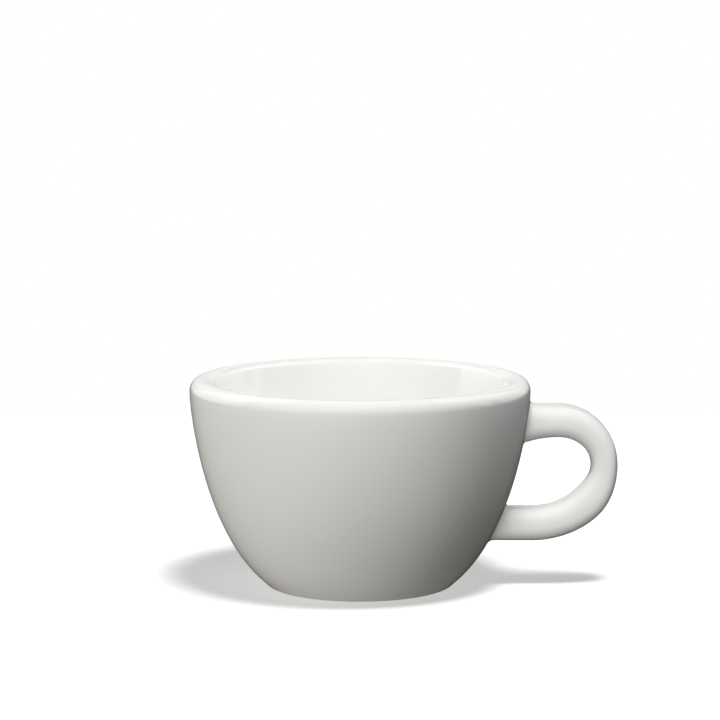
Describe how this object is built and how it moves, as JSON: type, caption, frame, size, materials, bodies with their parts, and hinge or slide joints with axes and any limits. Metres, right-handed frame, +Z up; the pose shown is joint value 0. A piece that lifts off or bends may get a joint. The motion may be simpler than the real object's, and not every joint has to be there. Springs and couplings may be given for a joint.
{
  "type": "cappuccino cup",
  "caption": "Thick-walled white porcelain coffee cup with a rounded rim, a bowl that curves in to a bare foot ring, and a side loop handle.",
  "frame": {"origin": "middle of the whole outline, handle included, on the plane that the foot ring stands on", "axes": "+X from the bowl out to the handle, +Z up along the bowl's axis, +Y across the handle's loop; the bowl's axis is at x = -12 mm"},
  "size_m": [0.117, 0.093, 0.057],
  "materials": {
    "glaze": "gloss",
    "bare_porcelain": "matte"
  },
  "bodies": {
    "root": {"bowl": "glaze", "foot_ring": "bare_porcelain", "handle": "glaze", "upper_slip_bead": "glaze", "lower_slip_bead": "glaze"}
  },
  "joints": []
}
